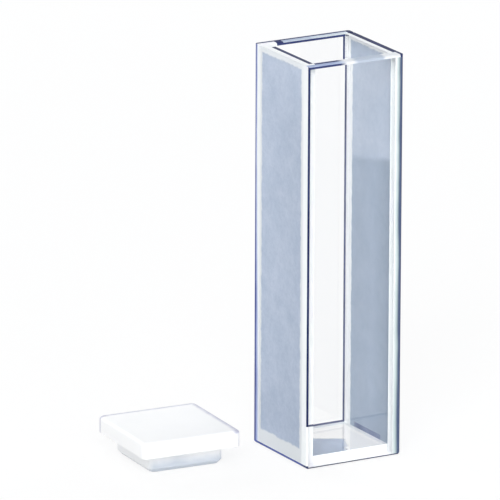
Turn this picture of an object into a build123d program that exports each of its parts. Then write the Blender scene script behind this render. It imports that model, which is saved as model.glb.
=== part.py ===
import os
from math import cos, radians, sin

from build123d import *

# Square glass cuvette: two clear windows, two ground side walls and a base,
# fused into an open-topped cell, with a loose cap that lies beside it.
# X runs across the windows, Y along the light path, Z up.
# The origin is the middle of the cell's footprint, on the surface it stands on.

# The cell, outside
cell_width = 12.5          # across the ground side walls
cell_depth = 12.5          # over the clear windows
cell_height = 48.0

# The glass
window_thickness = 1.25
side_thickness = 1.25
base_thickness = 1.25
edge_bevel = 0.25          # ground off every outside edge

# The cap
plate_thickness = 2.0      # the square plate that covers the mouth
plug_depth = 2.2           # how far the plug reaches into the cell
plug_clearance = 0.2       # between the plug and the glass, on each side
plate_corner_radius = 0.7
plug_corner_radius = 1.1
top_edge_radius = 0.4
lower_edge_radius = 0.2
plug_lead_in = 0.5         # bevel that guides the plug into the mouth

# Where the cap lies
cap_gap = 5.0              # from the cell's left side to the cap's nearest corner
cap_set_back = 5.5         # the cap's middle, behind the cell's middle
cap_turn = -3.5            # degrees, seen from above

# The hollow that holds the sample
light_path = cell_depth - 2 * window_thickness
mouth_width = cell_width - 2 * side_thickness

# How far the cap reaches towards the cell, once it's turned
turn = radians(abs(cap_turn))
cap_reach = (cell_width * cos(turn) + cell_depth * sin(turn)) / 2
cap_middle = (-cell_width / 2 - cap_gap - cap_reach, cap_set_back, 0)
cap_place = Plane(origin=cap_middle, x_dir=Vector(1, 0, 0).rotate(Axis.Z, cap_turn), z_dir=(0, 0, 1))


# A window is as wide as the cell and covers the edges of both side walls.
# Every edge is bevelled but the four around its inner face, where it's fused.

with BuildPart() as front_window:
    with BuildSketch(Plane.XZ.offset(light_path / 2)):
        Rectangle(cell_width, cell_height, align=(Align.CENTER, Align.MIN))
    extrude(amount=window_thickness)
    fused_edges = front_window.faces().sort_by(Axis.Y)[-1].edges()
    outside_edges = [edge for edge in front_window.edges() if edge not in fused_edges]
    chamfer(outside_edges, length=edge_bevel)
front_window.part.label = "front_window"

with BuildPart() as rear_window:
    mirror(front_window.part, about=Plane.XZ)
rear_window.part.label = "rear_window"


# A side wall stands between the windows, so only its top and bottom outer edges are bevelled.

with BuildPart() as right_wall:
    with BuildSketch(Plane.YZ.offset(mouth_width / 2)):
        Rectangle(light_path, cell_height, align=(Align.CENTER, Align.MIN))
    extrude(amount=side_thickness)
    outer_face = right_wall.faces().sort_by(Axis.X)[-1]
    chamfer(outer_face.edges().filter_by(Axis.Y), length=edge_bevel)
right_wall.part.label = "right_wall"

with BuildPart() as left_wall:
    mirror(right_wall.part, about=Plane.YZ)
left_wall.part.label = "left_wall"


# The base fills the foot of the cell, flush with the walls' lower edges.

with BuildPart() as base_plate:
    with BuildSketch(Plane.XY):
        Rectangle(mouth_width, light_path)
    extrude(amount=base_thickness)
base_plate.part.label = "base_plate"


# The cap lies plug down: the plug stands on the surface and the plate is on top of it.

with BuildPart() as cap:
    with BuildSketch(cap_place):
        RectangleRounded(mouth_width - 2 * plug_clearance, light_path - 2 * plug_clearance, plug_corner_radius)
    extrude(amount=plug_depth)
    chamfer(cap.faces().sort_by(Axis.Z)[0].edges(), length=plug_lead_in)
    with BuildSketch(cap_place.offset(plug_depth)):
        RectangleRounded(cell_width, cell_depth, plate_corner_radius)
    extrude(amount=plate_thickness)
    upper_face = cap.faces().filter_by(Axis.Z).sort_by(Axis.Z)[-1]
    fillet(upper_face.edges(), radius=top_edge_radius)
    lower_face = cap.faces().filter_by(Axis.Z).sort_by(Axis.Z)[1]
    fillet(lower_face.outer_wire().edges(), radius=lower_edge_radius)
cap.part.label = "cap"


os.makedirs("parts", exist_ok=True)
export_step(front_window.part, "parts/front_window.step")
export_step(rear_window.part, "parts/rear_window.step")
export_step(left_wall.part, "parts/left_wall.step")
export_step(right_wall.part, "parts/right_wall.step")
export_step(base_plate.part, "parts/base_plate.step")
export_step(cap.part, "parts/cap.step")
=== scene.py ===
import math

import bmesh
import bpy
from mathutils import Matrix, Vector


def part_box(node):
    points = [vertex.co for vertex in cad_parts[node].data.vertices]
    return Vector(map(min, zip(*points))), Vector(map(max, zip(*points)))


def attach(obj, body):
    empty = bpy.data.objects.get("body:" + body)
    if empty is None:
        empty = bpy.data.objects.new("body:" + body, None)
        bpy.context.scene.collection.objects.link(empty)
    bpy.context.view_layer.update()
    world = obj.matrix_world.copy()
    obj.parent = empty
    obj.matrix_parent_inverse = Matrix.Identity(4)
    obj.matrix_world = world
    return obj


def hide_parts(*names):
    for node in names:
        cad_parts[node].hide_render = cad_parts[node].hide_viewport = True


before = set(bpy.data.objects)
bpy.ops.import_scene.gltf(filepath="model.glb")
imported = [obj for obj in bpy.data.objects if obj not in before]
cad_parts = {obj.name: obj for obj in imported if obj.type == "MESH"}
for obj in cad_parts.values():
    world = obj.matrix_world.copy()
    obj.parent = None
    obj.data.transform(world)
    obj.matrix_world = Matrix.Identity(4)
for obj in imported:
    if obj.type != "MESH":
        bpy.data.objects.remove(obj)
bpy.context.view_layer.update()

mm = 0.001
scene = bpy.context.scene


# Small helpers for node materials

def newMaterial(name):
    made = bpy.data.materials.new(name)
    made.use_nodes = True
    made.node_tree.nodes.clear()
    return made, made.node_tree


def addNode(tree, kind, **settings):
    node = tree.nodes.new(kind)
    for key, value in settings.items():
        setattr(node, key, value)
    return node


def fillSocket(tree, socket, value):
    # with another node's output, a colour, a vector or a number
    if isinstance(value, bpy.types.NodeSocket):
        tree.links.new(value, socket)
    elif socket.type == "RGBA":
        socket.default_value = (*value, 1)
    else:
        socket.default_value = value


def calculate(tree, operation, *values):
    node = addNode(tree, "ShaderNodeMath", operation=operation)
    for socket, value in zip(node.inputs, values):
        fillSocket(tree, socket, value)
    return node.outputs["Value"]


def highest(tree, first, second):
    return calculate(tree, "MAXIMUM", first, second)


def product(tree, first, second):
    return calculate(tree, "MULTIPLY", first, second)


def objectPoint(tree, stretch=(1, 1, 1)):
    coords = addNode(tree, "ShaderNodeTexCoord")
    mapping = addNode(tree, "ShaderNodeMapping")
    mapping.inputs["Scale"].default_value = stretch
    tree.links.new(coords.outputs["Object"], mapping.inputs["Vector"])
    return mapping.outputs["Vector"]


def axisValue(tree, axis, shift=None):
    # one coordinate of the surface point, in metres, with a little unevenness if asked
    coords = addNode(tree, "ShaderNodeTexCoord")
    split = addNode(tree, "ShaderNodeSeparateXYZ")
    tree.links.new(coords.outputs["Object"], split.inputs["Vector"])
    value = split.outputs[axis]
    return value if shift is None else calculate(tree, "ADD", value, shift)


def noise(tree, point, scale, detail=3.0, roughness=0.55):
    node = addNode(tree, "ShaderNodeTexNoise")
    node.inputs["Scale"].default_value = scale
    node.inputs["Detail"].default_value = detail
    node.inputs["Roughness"].default_value = roughness
    tree.links.new(point, node.inputs["Vector"])
    return node.outputs["Fac"]


def ramp(tree, factor, stops):
    node = addNode(tree, "ShaderNodeValToRGB")
    while len(node.color_ramp.elements) < len(stops):
        node.color_ramp.elements.new(0.5)
    for element, (position, colour) in zip(node.color_ramp.elements, stops):
        element.position = position
        element.color = (*colour, 1)
    tree.links.new(factor, node.inputs["Fac"])
    return node.outputs["Color"]


def remap(tree, value, fromLow, fromHigh, toLow, toHigh):
    node = addNode(tree, "ShaderNodeMapRange", clamp=True)
    limits = {"From Min": fromLow, "From Max": fromHigh, "To Min": toLow, "To Max": toHigh}
    for label, number in limits.items():
        node.inputs[label].default_value = number
    tree.links.new(value, node.inputs["Value"])
    return node.outputs["Result"]


def blend(tree, factor, below, above, mode="MIX"):
    mix = addNode(tree, "ShaderNodeMix", data_type="RGBA", blend_type=mode)
    tree.links.new(factor, mix.inputs["Factor"])
    fillSocket(tree, mix.inputs[6], below)
    fillSocket(tree, mix.inputs[7], above)
    return mix.outputs[2]


def bump(tree, height, strength, distance):
    node = addNode(tree, "ShaderNodeBump")
    node.inputs["Strength"].default_value = strength
    node.inputs["Distance"].default_value = distance
    tree.links.new(height, node.inputs["Height"])
    return node.outputs["Normal"]


def shader(tree, kind, settings):
    node = addNode(tree, kind)
    for label, value in settings.items():
        fillSocket(tree, node.inputs[label], value)
    return node.outputs[0]


def mixShaders(tree, factor, first, second):
    mix = addNode(tree, "ShaderNodeMixShader")
    fillSocket(tree, mix.inputs["Fac"], factor)
    tree.links.new(first, mix.inputs[1])
    tree.links.new(second, mix.inputs[2])
    return mix.outputs["Shader"]


def finishMaterial(tree, surface):
    tree.links.new(surface, addNode(tree, "ShaderNodeOutputMaterial").inputs["Surface"])


# Clear glass

glassLook = {
    "tint": (0.998, 0.999, 1.0),
    "shade": (0.97, 0.98, 0.99),       # what is left of a lamp's light behind one face
    "ior": 1.47,
    "smear": 0.012,          # faint polish marks on the clear faces
    "smearScale": 260,
    "smearDepth": 0.02 * mm,
}


def polished(tree, extra):
    settings = {"Base Color": glassLook["tint"], "Roughness": 0.0, "IOR": glassLook["ior"],
                "Transmission Weight": 1.0}
    return shader(tree, "ShaderNodeBsdfPrincipled", {**settings, **extra})


def clearGlass():
    made, tree = newMaterial("polishedGlass")
    wave = noise(tree, objectPoint(tree), glassLook["smearScale"], 2)
    glass = polished(tree, {"Normal": bump(tree, wave, glassLook["smear"], glassLook["smearDepth"])})
    clear = shader(tree, "ShaderNodeBsdfTransparent", {"Color": glassLook["shade"]})
    path = addNode(tree, "ShaderNodeLightPath")
    # lamps shine through the glass
    finishMaterial(tree, mixShaders(tree, path.outputs["Is Shadow Ray"], glass, clear))
    return made


# Ground and bevelled edges

edgeLook = {
    "white": ((0.955, 0.975, 0.975), (0.91, 0.945, 0.95), (0.935, 0.93, 0.98)),       # lighter, darker, tint
    "whiteGlow": 0.06,       # share of the light that comes through from behind
    # a lighter copy of the white edge: painted light, besides the real light it lets through from behind
    "backlit": ((0.97, 0.98, 0.98), (0.93, 0.95, 0.955), (0.94, 0.94, 0.98)),
    "backlitGlow": 0.8,
    "grain": 0.25,
    "bevel": ((0.032, 0.044, 0.13), (0.010, 0.017, 0.075)),       # lighter, darker; painted reflection: the dark surroundings that the glass edges show
    "seam": ((0.10, 0.12, 0.24), (0.04, 0.055, 0.14)),
    "footSeam": ((0.24, 0.29, 0.42), (0.10, 0.13, 0.24)),
    "blue": (0.07, 0.10, 0.36),        # the painted dark of the bevels turns bluer low down at the rear left
    "blueHeight": (10 * mm, 32 * mm),
    "blueLeft": (-5.6 * mm, -4.0 * mm),
    "blueRear": (-5.9 * mm, -4.5 * mm),
    "darkGloss": 0.07,
    "leftEnd": ((0.050, 0.065, 0.26), (0.34, 0.41, 0.72), (0.93, 0.955, 0.96)),       # outwards in
    "leftFade": (1.05 * mm, 0.50 * mm),       # how far the dark reaches in, at the foot and at the mouth
    # the right end strip of the front face is painted opaque: it stands for what the clear glass shows
    # there, dark at the edge
    "rightEnd": ((0.07, 0.10, 0.19), (0.48, 0.58, 0.59), (0.93, 0.95, 0.96)),
    "rightFade": (1.00 * mm, 0.80 * mm),
    "fadeHeight": (6 * mm, 34 * mm),
    "flatLimit": 6.06 * mm,        # where the flat faces end and the bevels start
    "waver": 0.07 * mm,
}


def frosted(tree, colour, cloud, glow, grain, gloss=0.35):
    # scatters light back and lets some through
    grit = noise(tree, objectPoint(tree), 5200, 2, 0.7)
    body = shader(tree, "ShaderNodeBsdfPrincipled", {
        "Base Color": colour, "IOR": glassLook["ior"], "Specular IOR Level": gloss,
        "Roughness": remap(tree, cloud, 0.3, 0.7, 0.5, 0.62),
        "Normal": bump(tree, grit, grain, 0.01 * mm)})
    through = shader(tree, "ShaderNodeBsdfTranslucent", {"Color": colour})
    finishMaterial(tree, mixShaders(tree, glow, body, through))


def groundEdge(name, tones, glow):
    made, tree = newMaterial(name)
    lighter, darker, tint = tones
    cloud = noise(tree, objectPoint(tree), 330, 4, 0.6)
    tone = noise(tree, objectPoint(tree, (1, 1, 0.5)), 520, 2, 0.5)
    colour = ramp(tree, cloud, [(0.30, darker), (0.72, lighter)])
    colour = blend(tree, remap(tree, tone, 0.48, 0.66, 0, 0.8), colour, tint)
    frosted(tree, colour, cloud, glow, edgeLook["grain"])
    return made


def fadingEdge(name, axis, tones, widths):
    # ground glass painted darker towards one long edge, over a band that is wider low down: painted
    # reflection of the dark surroundings that the edge shows
    made, tree = newMaterial(name)
    outer, middle, inner = tones
    waver = edgeLook["waver"]
    cloud = noise(tree, objectPoint(tree), 330, 4, 0.6)
    wobble = remap(tree, noise(tree, objectPoint(tree, (1, 1, 0.3)), 500, 2), 0.3, 0.7, -waver, waver)
    depth = calculate(tree, "SUBTRACT", edgeLook["flatLimit"], axisValue(tree, axis, wobble))
    width = remap(tree, axisValue(tree, "Z"), *edgeLook["fadeHeight"], *widths)
    share = calculate(tree, "DIVIDE", depth, width)
    colour = ramp(tree, share, [(0.0, outer), (0.22, outer), (0.52, middle), (1.0, inner)])
    colour = blend(tree, remap(tree, cloud, 0.3, 0.7, 0.6, 0), colour, (0.93, 0.95, 0.96), "MULTIPLY")
    frosted(tree, colour, cloud, edgeLook["whiteGlow"], edgeLook["grain"])
    return made


def darkEdge(name, tones, turnsBlue=False):
    # a bevel or a seam, painted dark: on a bevel it is painted reflection of the dark surroundings that the
    # glass shows edge on; a seam is a dark joint
    made, tree = newMaterial(name)
    lighter, darker = tones
    patch = noise(tree, objectPoint(tree, (1, 1, 0.35)), 420, 3, 0.5)
    colour = ramp(tree, patch, [(0.35, darker), (0.65, lighter)])
    if turnsBlue:
        low = remap(tree, axisValue(tree, "Z"), *edgeLook["blueHeight"], 1, 0)
        left = remap(tree, axisValue(tree, "X"), *edgeLook["blueLeft"], 1, 0)
        rear = remap(tree, axisValue(tree, "Y"), *edgeLook["blueRear"], 0, 1)
        colour = blend(tree, product(tree, product(tree, low, left), rear), colour, edgeLook["blue"])
    body = shader(tree, "ShaderNodeBsdfPrincipled", {
        "Base Color": colour, "IOR": glassLook["ior"], "Specular IOR Level": edgeLook["darkGloss"],
        "Roughness": remap(tree, patch, 0.3, 0.7, 0.3, 0.45)})
    finishMaterial(tree, body)
    return made


# Ground panels of the side walls

panelLook = {
    "leftTones": ((0.535, 0.618, 0.752), (0.628, 0.698, 0.828)),       # darker, lighter
    # painted shade: the right panel is a darker copy of the left panel's ground glass
    "rightShadedTones": ((0.458, 0.545, 0.674), (0.540, 0.616, 0.742)),
    "fleck": (0.86, 0.88, 0.91),
    "litBorder": (0.94, 0.965, 0.975),     # the lighter border: painted light, for the light that the glass carries to the panel's edges
    "marginSide": 0.47 * mm,
    "marginTop": 0.65 * mm,
    "marginFoot": 2.1 * mm,
    "rightFootShare": 0.2,       # the right panel's border is narrower at the foot
    "waver": 0.09 * mm,
    "soft": 0.10 * mm,
    "glow": 0.35,
    "lowerTone": (0.71, 0.765, 0.81),       # the lower part of the right panel is darker
    "lowerTop": 34.3 * mm,
    "lowerTilt": 0.2,                  # its upper limit rises towards the front
    "lowerSoft": 0.3 * mm,
    "lowerFrontTone": (0.755, 0.785, 0.80),   # and it is darker still towards the front
    "lowerFrontReach": (-4.6 * mm, -0.5 * mm),
}


# darkens the panel's lower part, and more so towards the front
def darkenLowerPart(tree, colour, height):
    tilted = calculate(tree, "MULTIPLY_ADD", axisValue(tree, "Y"), panelLook["lowerTilt"], height)
    top, soft = panelLook["lowerTop"], panelLook["lowerSoft"]
    low = remap(tree, tilted, top - soft, top + soft, 1, 0)
    colour = blend(tree, low, colour, panelLook["lowerTone"], "MULTIPLY")
    forward = remap(tree, axisValue(tree, "Y"), *panelLook["lowerFrontReach"], 1, 0)
    return blend(tree, product(tree, low, forward), colour, panelLook["lowerFrontTone"], "MULTIPLY")


def groundPanel(name, isRight):
    made, tree = newMaterial(name)
    point = objectPoint(tree)
    cloud = noise(tree, point, 420, 5, 0.62)
    darker, lighter = panelLook["rightShadedTones"] if isRight else panelLook["leftTones"]
    colour = ramp(tree, cloud, [(0.32, darker), (0.68, lighter)])
    fleck = noise(tree, point, 2300, 3, 0.65)
    colour = blend(tree, remap(tree, fleck, 0.36, 0.60, 0.55, 0), colour, panelLook["fleck"], "MULTIPLY")
    waver, soft = panelLook["waver"], panelLook["soft"]
    wobble = remap(tree, noise(tree, point, 900, 2), 0.3, 0.7, -waver, waver)
    height = axisValue(tree, "Z", wobble)
    foot = panelLook["marginFoot"]
    if isRight:
        colour = darkenLowerPart(tree, colour, height)
        foot *= panelLook["rightFootShare"]
    fromMiddle = calculate(tree, "ABSOLUTE", axisValue(tree, "Y", wobble))
    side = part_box("left_wall")[1][1] - panelLook["marginSide"]
    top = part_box("left_wall")[1][2] - panelLook["marginTop"]
    # painted light: the lighter border along the panel's edges
    litBorder = remap(tree, fromMiddle, side - soft, side + soft, 0, 1)
    litBorder = highest(tree, litBorder, remap(tree, height, top - soft, top + soft, 0, 1))
    litBorder = highest(tree, litBorder, remap(tree, height, foot - soft, foot + soft, 1, 0))
    colour = blend(tree, litBorder, colour, panelLook["litBorder"])
    frosted(tree, colour, cloud, panelLook["glow"], edgeLook["grain"])
    return made


# Rims of the windows, at the mouth

# All rim colours are painted reflection: they stand for what the glass shows through its top faces, the dark
# surroundings and the walls behind.
rimLook = {
    "rear": ((0.45, 0.53, 0.70), (0.82, 0.90, 0.95)),        # darker, lighter
    "front": ((0.30, 0.37, 0.62), (0.56, 0.65, 0.84)),
    "line": ((0.030, 0.040, 0.13), (0.07, 0.09, 0.24)),
    "pale": (0.92, 0.94, 0.97),
    "paleFrom": (-2.0 * mm, -1.2 * mm),        # the front rim pales to the right of here
    "flush": (0.56, 0.63, 0.74),        # and then is painted in the tone of the ground panel seen behind it
    "flushFrom": (-0.3 * mm, 0.3 * mm),
    "flushTo": (3.4 * mm, 3.9 * mm),
    "waver": 0.3 * mm,
    "glow": 0.25,
    "grain": 0.2,
    "gloss": 0.12,
}


def windowRim(name, isFront, isLine):
    made, tree = newMaterial(name)
    cloud = noise(tree, objectPoint(tree, (0.4, 1, 1)), 620, 3, 0.5)
    tones = rimLook["front"] if isFront else rimLook["rear"]
    darker, lighter = rimLook["line"] if isLine else tones
    colour = ramp(tree, cloud, [(0.35, darker), (0.8 if isLine else 0.62, lighter)])
    if isFront:
        fade = remap(tree, axisValue(tree, "X"), *rimLook["paleFrom"], 0, 1)
        colour = blend(tree, fade, colour, rimLook["pale"])
        waver = rimLook["waver"]
        wavy = axisValue(tree, "X", remap(tree, cloud, 0.3, 0.7, -waver, waver))
        start = remap(tree, wavy, *rimLook["flushFrom"], 0, 1)
        end = remap(tree, wavy, *rimLook["flushTo"], 1, 0)
        colour = blend(tree, product(tree, start, end), colour, rimLook["flush"])
    frosted(tree, colour, cloud, rimLook["glow"], rimLook["grain"], rimLook["gloss"])
    return made


# Underside of the base

footLook = {
    "patch": ((0.32, 0.405, 0.56), (0.41, 0.495, 0.65)),        # darker, lighter; painted reflection, the darker patch that the base's top face mirrors
    "rightSlope": -0.567,        # the painted reflection fills the front left of the base
    "rightLimit": 2.2 * mm,
    "rearSlope": 1.76,
    "rearLimit": 2.1 * mm,
    "soft": 0.4 * mm,
    "waver": 0.2 * mm,
}


def footWithPaintedReflection():
    # clear but for one patch, painted opaque: a painted reflection
    made, tree = newMaterial("footWithPaintedReflection")
    darker, lighter = footLook["patch"]
    waver, soft = footLook["waver"], footLook["soft"]
    cloud = noise(tree, objectPoint(tree), 420, 4, 0.6)
    wobble = remap(tree, noise(tree, objectPoint(tree), 700, 2), 0.3, 0.7, -waver, waver)
    inside = []
    for side in ("right", "rear"):
        slope, limit = footLook[side + "Slope"], footLook[side + "Limit"]
        slanted = calculate(tree, "MULTIPLY_ADD", axisValue(tree, "Y"), slope, axisValue(tree, "X", wobble))
        inside.append(remap(tree, slanted, limit - soft, limit + soft, 1, 0))
    paintedReflection = shader(tree, "ShaderNodeBsdfPrincipled", {
        "Base Color": ramp(tree, cloud, [(0.35, darker), (0.65, lighter)]),
        "Roughness": remap(tree, cloud, 0.3, 0.7, 0.5, 0.62)})
    finishMaterial(tree, mixShaders(tree, product(tree, *inside), polished(tree, {}), paintedReflection))
    return made


finish = {
    "clear": clearGlass(),
    "panelLeft": groundPanel("groundPanelLeft", False),
    "panelRight": groundPanel("groundPanelRight", True),
    "white": groundEdge("groundEdge", edgeLook["white"], edgeLook["whiteGlow"]),
    "rim": windowRim("windowRim", False, False),
    "rimLine": windowRim("windowRimLine", False, True),
    "frontRim": windowRim("frontRim", True, False),
    "frontRimLine": windowRim("frontRimLine", True, True),
    "dark": darkEdge("bevelledEdge", edgeLook["bevel"], True),
    "seam": darkEdge("fusedSeam", edgeLook["seam"]),
    "footSeam": darkEdge("footSeam", edgeLook["footSeam"]),
    "backlit": groundEdge("backlitEdge", edgeLook["backlit"], edgeLook["backlitGlow"]),
    "leftEnd": fadingEdge("leftEnd", "Y", edgeLook["leftEnd"], edgeLook["leftFade"]),
    "rightEnd": fadingEdge("rightEnd", "X", edgeLook["rightEnd"], edgeLook["rightFade"]),
    "foot": footWithPaintedReflection(),
}
print("glass finishes made")


# Glass plates: a box with bevelled edges, cut along the lines where its finish changes

plates = {
    "bondGap": 0.01 * mm,      # between two fused plates, so that their faces don't share a plane
    "bevel": 0.19 * mm,
    "footLine": 0.36 * mm,     # painted dark line round the foot, painted reflection of the dark surroundings in the lower edge
    "seamWidth": 0.26 * mm,
    "seamHeight": 0.24 * mm,   # of the dark line where the base meets the rear window
    "cornerFoot": 5.1 * mm,    # the dark corner line stops here and turns along the foot
}

# the dark lines, spots and ends set below are painted reflection of the dark surroundings in the glass edges
# and rims; the white end is painted too
windowCuts = {
    "rimBevel": 0.32 * mm,     # the rims are eased more than the other edges
    "frontLine": 0.52 * mm,    # painted dark line along the inner side of the front rim
    "rearLine": 0.42 * mm,     # and along the outer side of the rear one
    "frontWhite": 0.3 * mm,    # the left end of the front rim is white
    "frontDark": 0.4 * mm,     # and its right end is dark
    "spotStart": 1.0 * mm,     # painted dark spot on the rear rim, from the left of the mouth
    "spotEnd": 1.9 * mm,
    "faceLine": 0.90 * mm,     # the strip of the front face painted opaque and darker towards its right edge, for what the glass shows there
}

wallCuts = {
    "rightLine": 0.70 * mm,       # painted dark line along the top of the right wall
    "leftLine": 0.525 * mm,       # and along the left wall's inner edge
    "leftLineEnd": 3.7 * mm,
    "footSeamHeight": 0.6 * mm,
    "footSeamFrom": -3.3 * mm,
    "footSeamTo": 2.7 * mm,
}

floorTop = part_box("base_plate")[1][2]
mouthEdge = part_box("base_plate")[1][0]      # half the width of the mouth


def nearly(a, b, slack=0.05 * mm):
    return abs(a - b) < slack


def alongEdge(edge):
    # the axis that a straight edge follows, and its middle
    a, b = edge.verts[0].co, edge.verts[1].co
    return max(range(3), key=lambda i: abs(a[i] - b[i])), (a + b) / 2


def noEdge(axis, middle):
    return False


def glassPlate(name, node, inset, bevelled, rimEdge, cuts, paint):
    low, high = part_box(node)
    low, high = Vector(low), Vector(high)
    for axis in range(3):
        low[axis] += inset[axis]
        high[axis] -= inset[axis]
    bm = bmesh.new()
    bmesh.ops.create_cube(bm, size=1)
    for vert in bm.verts:
        vert.co = Vector([low[i] if vert.co[i] < 0 else high[i] for i in range(3)])
    bm.normal_update()
    edges = [edge for edge in bm.edges if bevelled(*alongEdge(edge))]
    bmesh.ops.bevel(bm, geom=edges, offset=plates["bevel"], offset_type="OFFSET", segments=1,
                    profile=0.5, affect="EDGES", material=1)
    edges = [edge for edge in bm.edges if rimEdge(*alongEdge(edge))]
    if edges:
        bmesh.ops.bevel(bm, geom=edges, offset=windowCuts["rimBevel"], offset_type="OFFSET",
                        segments=2, profile=0.5, affect="EDGES", material=2)
    for axis, place in cuts:
        normal = Vector([float(axis == i) for i in range(3)])
        whole = list(bm.verts) + list(bm.edges) + list(bm.faces)
        bmesh.ops.bisect_plane(bm, geom=whole, plane_co=normal * place, plane_no=normal)
    slots = ["clear"]
    for face in bm.faces:
        choice = paint(face.calc_center_median(), face.normal, face.material_index)
        if choice not in slots:
            slots.append(choice)
        face.material_index = slots.index(choice)
    mesh = bpy.data.meshes.new(name)
    bm.to_mesh(mesh)
    bm.free()
    made = bpy.data.objects.new(name, mesh)
    scene.collection.objects.link(made)
    for choice in slots:
        mesh.materials.append(finish[choice])
    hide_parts(node)
    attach(made, "root")
    return made


def makeWindow(name, node, outward):
    # outward is -1 for the front window and 1 for the rear one
    low, high = (Vector(corner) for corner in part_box(node))
    bevel, foot, seam = plates["bevel"], plates["footLine"], plates["seamWidth"]
    isFront = outward < 0
    innerY = high.y if isFront else low.y
    seamTop = floorTop + plates["seamHeight"]
    faceLine = high.x - bevel - windowCuts["faceLine"]
    rimFoot = high.z - windowCuts["rimBevel"]
    if isFront:
        rim, rimLine = "frontRim", "frontRimLine"
        lineY = innerY - windowCuts["frontLine"]
        spotFrom = spotTo = low.x + windowCuts["frontWhite"]
        rightTip = high.x - windowCuts["frontDark"]
    else:
        rim, rimLine = "rim", "rimLine"
        lineY = high.y - windowCuts["rearLine"]
        spotFrom, spotTo = -mouthEdge + windowCuts["spotStart"], -mouthEdge + windowCuts["spotEnd"]
        rightTip = high.x - wallCuts["rightLine"]

    def bevelled(axis, middle):
        return not nearly(middle.y, innerY) and not nearly(middle.z, high.z)

    def rimEdge(axis, middle):
        return nearly(middle.z, high.z) and axis == 0 and nearly(middle.y, low.y)

    def paintRim(centre, normal, kind):
        if centre.x > rightTip:
            return "dark"
        if not isFront and centre.y > lineY:
            return rimLine
        if centre.x < spotFrom or (centre.x < -mouthEdge and centre.y > lineY):
            return "white"
        if centre.x < spotTo:
            return rimLine
        if kind == 2:
            return rim if normal.z > 0.6 else rimLine      # painted: the upper facet pale, the lower one dark
        if kind == 1:
            return "dark"
        return rimLine if centre.y > lineY else rim

    def paintInner(centre):
        besideMouth = abs(centre.x) > mouthEdge
        if isFront or besideMouth or centre.z < floorTop:
            return "clear"
        return "seam" if centre.z < seamTop or abs(centre.x) > mouthEdge - seam else "clear"

    def paint(centre, normal, kind):
        if centre.z > rimFoot and normal.z > 0.1:
            return paintRim(centre, normal, kind)
        if kind == 1:
            belowTurn = isFront and centre.x < low.x + bevel and foot < centre.z < plates["cornerFoot"]
            return "white" if belowTurn else "dark"
        if normal.z < -0.9:
            return "white"
        if abs(normal.x) > 0.9:
            if centre.z < foot:
                return "dark"
            return "white" if isFront or normal.x > 0 else "leftEnd"
        if nearly(centre.y, innerY):
            return paintInner(centre)
        return "rightEnd" if isFront and centre.x > faceLine else "clear"

    cuts = [(1, lineY), (2, foot), (0, -mouthEdge), (0, rightTip)]
    if isFront:
        cuts += [(0, faceLine), (2, plates["cornerFoot"])]
    else:
        cuts += [(0, spotFrom), (0, spotTo), (0, -mouthEdge + seam), (0, mouthEdge - seam),
                 (0, mouthEdge), (2, floorTop), (2, seamTop)]
    made = glassPlate(name, node, (0, 0, 0), bevelled, rimEdge, cuts, paint)


def makeWall(name, node, outward):
    # outward is -1 for the left wall and 1 for the right one
    low, high = (Vector(corner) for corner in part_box(node))
    isLeft = outward < 0
    outerX = low.x if isLeft else high.x
    lineX = high.x - wallCuts["leftLine" if isLeft else "rightLine"]      # both lines are on the right
    lineEnd = wallCuts["leftLineEnd"]
    turnTop = plates["cornerFoot"]
    turnLow = turnTop - plates["seamWidth"]
    seamTop = floorTop + wallCuts["footSeamHeight"]
    seamFrom, seamTo = wallCuts["footSeamFrom"], wallCuts["footSeamTo"]

    def bevelled(axis, middle):
        return axis == 1 and nearly(middle.x, outerX) and nearly(middle.z, low.z)

    def paintEnd(centre, normal):
        if isLeft:
            return "seam" if normal.y < 0 and turnLow < centre.z < turnTop else "white"
        return "backlit" if normal.y > 0 else "white"

    def paint(centre, normal, kind):
        if kind == 1:
            return "dark"
        if normal.z > 0.9:
            return "dark" if centre.x > lineX and (not isLeft or centre.y < lineEnd) else "white"
        if normal.z < -0.9:
            return "white"
        if abs(normal.y) > 0.9:
            return paintEnd(centre, normal)
        if nearly(centre.x, outerX):
            if centre.z < plates["footLine"]:
                return "dark"
            return "panelLeft" if isLeft else "panelRight"
        atSeam = floorTop < centre.z < seamTop and seamFrom < centre.y < seamTo
        return "footSeam" if atSeam and not isLeft else "clear"

    cuts = [(0, lineX), (2, plates["footLine"])]
    if isLeft:
        cuts += [(1, lineEnd), (2, turnLow), (2, turnTop)]
    else:
        cuts += [(2, floorTop), (2, seamTop), (1, seamFrom), (1, seamTo)]
    made = glassPlate(name, node, (0, plates["bondGap"], 0), bevelled, noEdge, cuts, paint)


def makeBase(name, node):
    def paint(centre, normal, kind):
        if normal.z > 0.9:
            return "clear"
        return "foot" if normal.z < -0.9 else "white"

    made = glassPlate(name, node, (plates["bondGap"], plates["bondGap"], 0), noEdge, noEdge, [], paint)


makeWindow("frontWindow", "front_window", -1)
makeWindow("rearWindow", "rear_window", 1)
makeWall("leftWall", "left_wall", -1)
makeWall("rightWall", "right_wall", 1)
makeBase("basePlate", "base_plate")
print("glass plates made")


# Cap

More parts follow.
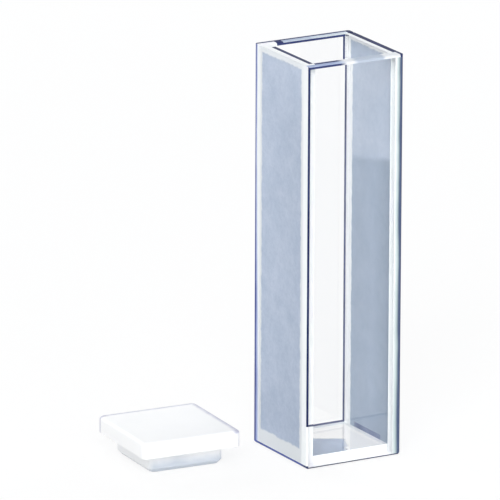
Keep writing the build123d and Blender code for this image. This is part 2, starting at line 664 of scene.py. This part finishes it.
capLook = {
    "tones": ((0.95, 0.953, 0.956), (0.975, 0.975, 0.975)),       # darker, lighter
    "turn": -3.5,                     # how the cap lies, in degrees
    "ior": 1.38,
    "waxiness": 0.2,
    "waxRadius": (1.0, 1.0, 1.1),
    "waxDepth": 0.5 * mm,
    "edgeShade": (0.42, 0.42, 0.55),        # painted shade along the plate's rear edges, a darker outline
    "edgeShadeShare": 0.8,
    "edgeShadeWidth": 0.95 * mm,
    "edgeShadeFull": 0.3 * mm,              # the painted shade is full this near to the edge
    "edgeShadeHeight": (0.42 * mm, 0.2 * mm),       # and starts this far below the top
    "edgeShadeWaver": 0.08 * mm,
    "rearEdges": (1.0 * mm, 0.6 * mm),
    "frontShare": 0.04,                # there is almost none along the front edges
    "cornerWidth": (1.1 * mm, 0.7 * mm),
    "cornerRange": (-2 * mm, 2 * mm),
    "rightCornerShare": 0.15,
    "plug": (0.61, 0.66, 0.73),       # painted shadow: the plug is greyer than the plate, for the shade under the plate's overhang
    "plugHeight": (0.7 * mm, 2.0 * mm),
    "plugWaver": 0.35 * mm,
    "plugLeft": (-4.75 * mm, -4.2 * mm),       # but much less on its left side, which the key lamp lights
    "plugLeftShare": 0.2,
}


def capEdgeShade(tree, split, grain, reach, top):
    # 1 on the edges and corners of the plate where shade is painted; reach is half the plate's width
    sides = [calculate(tree, "ABSOLUTE", split.outputs[axis]) for axis in ("X", "Y")]
    wavy = remap(tree, grain, 0.35, 0.65, -1, 1)
    outline = calculate(tree, "MULTIPLY_ADD", wavy, capLook["edgeShadeWaver"], highest(tree, *sides))
    start, full = capLook["edgeShadeHeight"]
    upper = remap(tree, split.outputs["Z"], top - start, top - full, 0, 1)
    near = remap(tree, outline, reach - capLook["edgeShadeWidth"], reach - capLook["edgeShadeFull"], 0, 1)
    upper = product(tree, upper, near)
    start, full = capLook["rearEdges"]
    nearest = highest(tree, split.outputs["X"], split.outputs["Y"])
    rear = remap(tree, nearest, reach - start, reach - full, capLook["frontShare"], 1)
    start, full = capLook["cornerWidth"]
    corner = remap(tree, calculate(tree, "MINIMUM", *sides), reach - start, reach - full, 0, 1)
    leftward = remap(tree, split.outputs["X"], *capLook["cornerRange"], 1, capLook["rightCornerShare"])
    corner = product(tree, product(tree, corner, rear), leftward)
    return highest(tree, product(tree, upper, rear), corner)


def capPlastic():
    made, tree = newMaterial("whiteFluoropolymer")
    low, high = (Vector(corner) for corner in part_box("cap"))
    middle = (low + high) / 2
    angle = math.radians(abs(capLook["turn"]))
    reach = (high.x - low.x) / 2 / (math.cos(angle) + math.sin(angle))
    coords = addNode(tree, "ShaderNodeTexCoord")
    local = addNode(tree, "ShaderNodeMapping", vector_type="TEXTURE")      # the cap's own axes
    local.inputs["Location"].default_value = (middle.x, middle.y, 0)
    local.inputs["Rotation"].default_value = (0, 0, math.radians(capLook["turn"]))
    tree.links.new(coords.outputs["Object"], local.inputs["Vector"])
    point = local.outputs["Vector"]
    cloud = noise(tree, point, 240, 3, 0.5)
    grain = noise(tree, point, 1500, 3, 0.6)
    split = addNode(tree, "ShaderNodeSeparateXYZ")
    tree.links.new(point, split.inputs["Vector"])
    darker, lighter = capLook["tones"]
    colour = ramp(tree, cloud, [(0.3, darker), (0.7, lighter)])
    edgeShadeMask = remap(tree, capEdgeShade(tree, split, grain, reach, high.z), 0, 1, 0, capLook["edgeShadeShare"])
    colour = blend(tree, edgeShadeMask, colour, capLook["edgeShade"])
    # painted shadow under the plate's overhang, darker low on the plug
    waver = capLook["plugWaver"]
    height = axisValue(tree, "Z", remap(tree, cloud, 0.3, 0.7, -waver, waver))
    plug = remap(tree, height, *capLook["plugHeight"], 1, 0)
    leftSide = remap(tree, split.outputs["X"], *capLook["plugLeft"], capLook["plugLeftShare"], 1)
    colour = blend(tree, product(tree, plug, leftSide), colour, capLook["plug"], "MULTIPLY")
    body = shader(tree, "ShaderNodeBsdfPrincipled", {
        "Base Color": colour, "IOR": capLook["ior"],
        "Roughness": remap(tree, cloud, 0.3, 0.7, 0.34, 0.46),
        "Subsurface Weight": capLook["waxiness"], "Subsurface Radius": capLook["waxRadius"],
        "Subsurface Scale": capLook["waxDepth"], "Normal": bump(tree, grain, 0.12, 0.01 * mm)})
    finishMaterial(tree, body)
    return made


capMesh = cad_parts["cap"].data
capMesh.materials.clear()
capMesh.materials.append(capPlastic())
print("cap finished")


# Floor, surroundings and lamps

studio = {
    "floorColour": (0.97, 0.97, 0.97),
    "floorSize": 6.0,
    "floorDrop": 0.02 * mm,
    "floorGlow": 0.80,          # share of the floor that stays plain white to the eye and through glass
    "skyFill": (0.465, 0.475, 0.485),
}


def seenDirectly(tree):
    # 1 for what the eye sees, in person or through or in glass
    path = addNode(tree, "ShaderNodeLightPath")
    first = highest(tree, path.outputs["Is Camera Ray"], path.outputs["Is Glossy Ray"])
    return highest(tree, first, path.outputs["Is Transmission Ray"])


def makeFloor():
    made, tree = newMaterial("paleFloor")
    matt = shader(tree, "ShaderNodeBsdfDiffuse", {"Color": studio["floorColour"]})
    plain = shader(tree, "ShaderNodeEmission", {})
    share = product(tree, seenDirectly(tree), studio["floorGlow"])
    finishMaterial(tree, mixShaders(tree, share, matt, plain))
    bpy.ops.mesh.primitive_plane_add(size=studio["floorSize"], location=(0, 0, -studio["floorDrop"]))
    floor = bpy.context.active_object
    floor.name = "floor"
    floor.data.materials.append(made)


def makeSky():
    world = bpy.data.worlds.new("studioSky")
    scene.world = world
    world.use_nodes = True
    tree = world.node_tree
    tree.nodes.clear()
    fill = shader(tree, "ShaderNodeBackground", {"Color": studio["skyFill"]})
    white = shader(tree, "ShaderNodeBackground", {})
    mix = mixShaders(tree, seenDirectly(tree), fill, white)
    tree.links.new(mix, addNode(tree, "ShaderNodeOutputWorld").inputs["Surface"])


lamps = {
    "key": {"place": (-0.31, -0.42, 0.36), "size": 0.35, "power": 1.95, "colour": (1.0, 0.995, 0.985)},
    "top": {"place": (0.05, 0.05, 0.70), "size": 0.35, "power": 0.45, "colour": (1.0, 1.0, 1.0)},
    "fill": {"place": (0.48, 0.15, 0.18), "size": 0.40, "power": 0.85, "colour": (0.97, 0.98, 1.0)},
    "front": {"place": (0.05, -0.62, 0.22), "size": 0.40, "power": 0.85, "colour": (0.99, 0.995, 1.0)},
    "rear": {"place": (-0.10, 0.60, 0.18), "size": 0.40, "power": 1.35, "colour": (0.99, 0.995, 1.0)},
}


def makeLamp(name, look):
    data = bpy.data.lights.new(name, "AREA")
    data.shape = "SQUARE"
    data.size = look["size"]
    data.energy = look["power"]
    data.color = look["colour"]
    lamp = bpy.data.objects.new(name, data)
    scene.collection.objects.link(lamp)
    lamp.location = look["place"]
    lamp.rotation_euler = (-Vector(look["place"])).to_track_quat("-Z", "Y").to_euler()


makeFloor()
makeSky()
for lampName, lampLook in lamps.items():
    makeLamp(lampName, lampLook)
print("studio made")


# Camera

camera = {
    "azimuth": -29.55,
    "elevation": 16.0,
    "roll": 0.23,
    "distance": 1.0,
    "lens": 623.0,
    "aimRight": -9.0 * mm,      # from the middle of the cell, so that the cap is in view too
    "aimUp": -0.1 * mm,
    "farLimit": 20,
}


def makeCamera():
    a, e = math.radians(camera["azimuth"]), math.radians(camera["elevation"])
    back = Vector((math.sin(a) * math.cos(e), -math.cos(a) * math.cos(e), math.sin(e)))
    right = Vector((math.cos(a), math.sin(a), 0))
    up = back.cross(right)
    low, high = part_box("front_window")
    middle = Vector((0, 0, (low[2] + high[2]) / 2))
    aim = middle + right * camera["aimRight"] + up * camera["aimUp"]
    data = bpy.data.cameras.new("camera")
    data.lens = camera["lens"]
    data.clip_end = camera["farLimit"]
    made = bpy.data.objects.new("camera", data)
    scene.collection.objects.link(made)
    turn = Matrix.Rotation(math.radians(camera["roll"]), 3, back)
    axes = Matrix((turn @ right, turn @ up, back)).transposed()
    made.rotation_euler = axes.to_euler()
    made.location = aim + back * camera["distance"]
    scene.camera = made


makeCamera()
scene.view_settings.view_transform = "Standard"
for bounceLimit in ("max_bounces", "transmission_bounces", "glossy_bounces", "transparent_max_bounces"):
    setattr(scene.cycles, bounceLimit, 24)      # light passes many faces of glass
print("camera set")
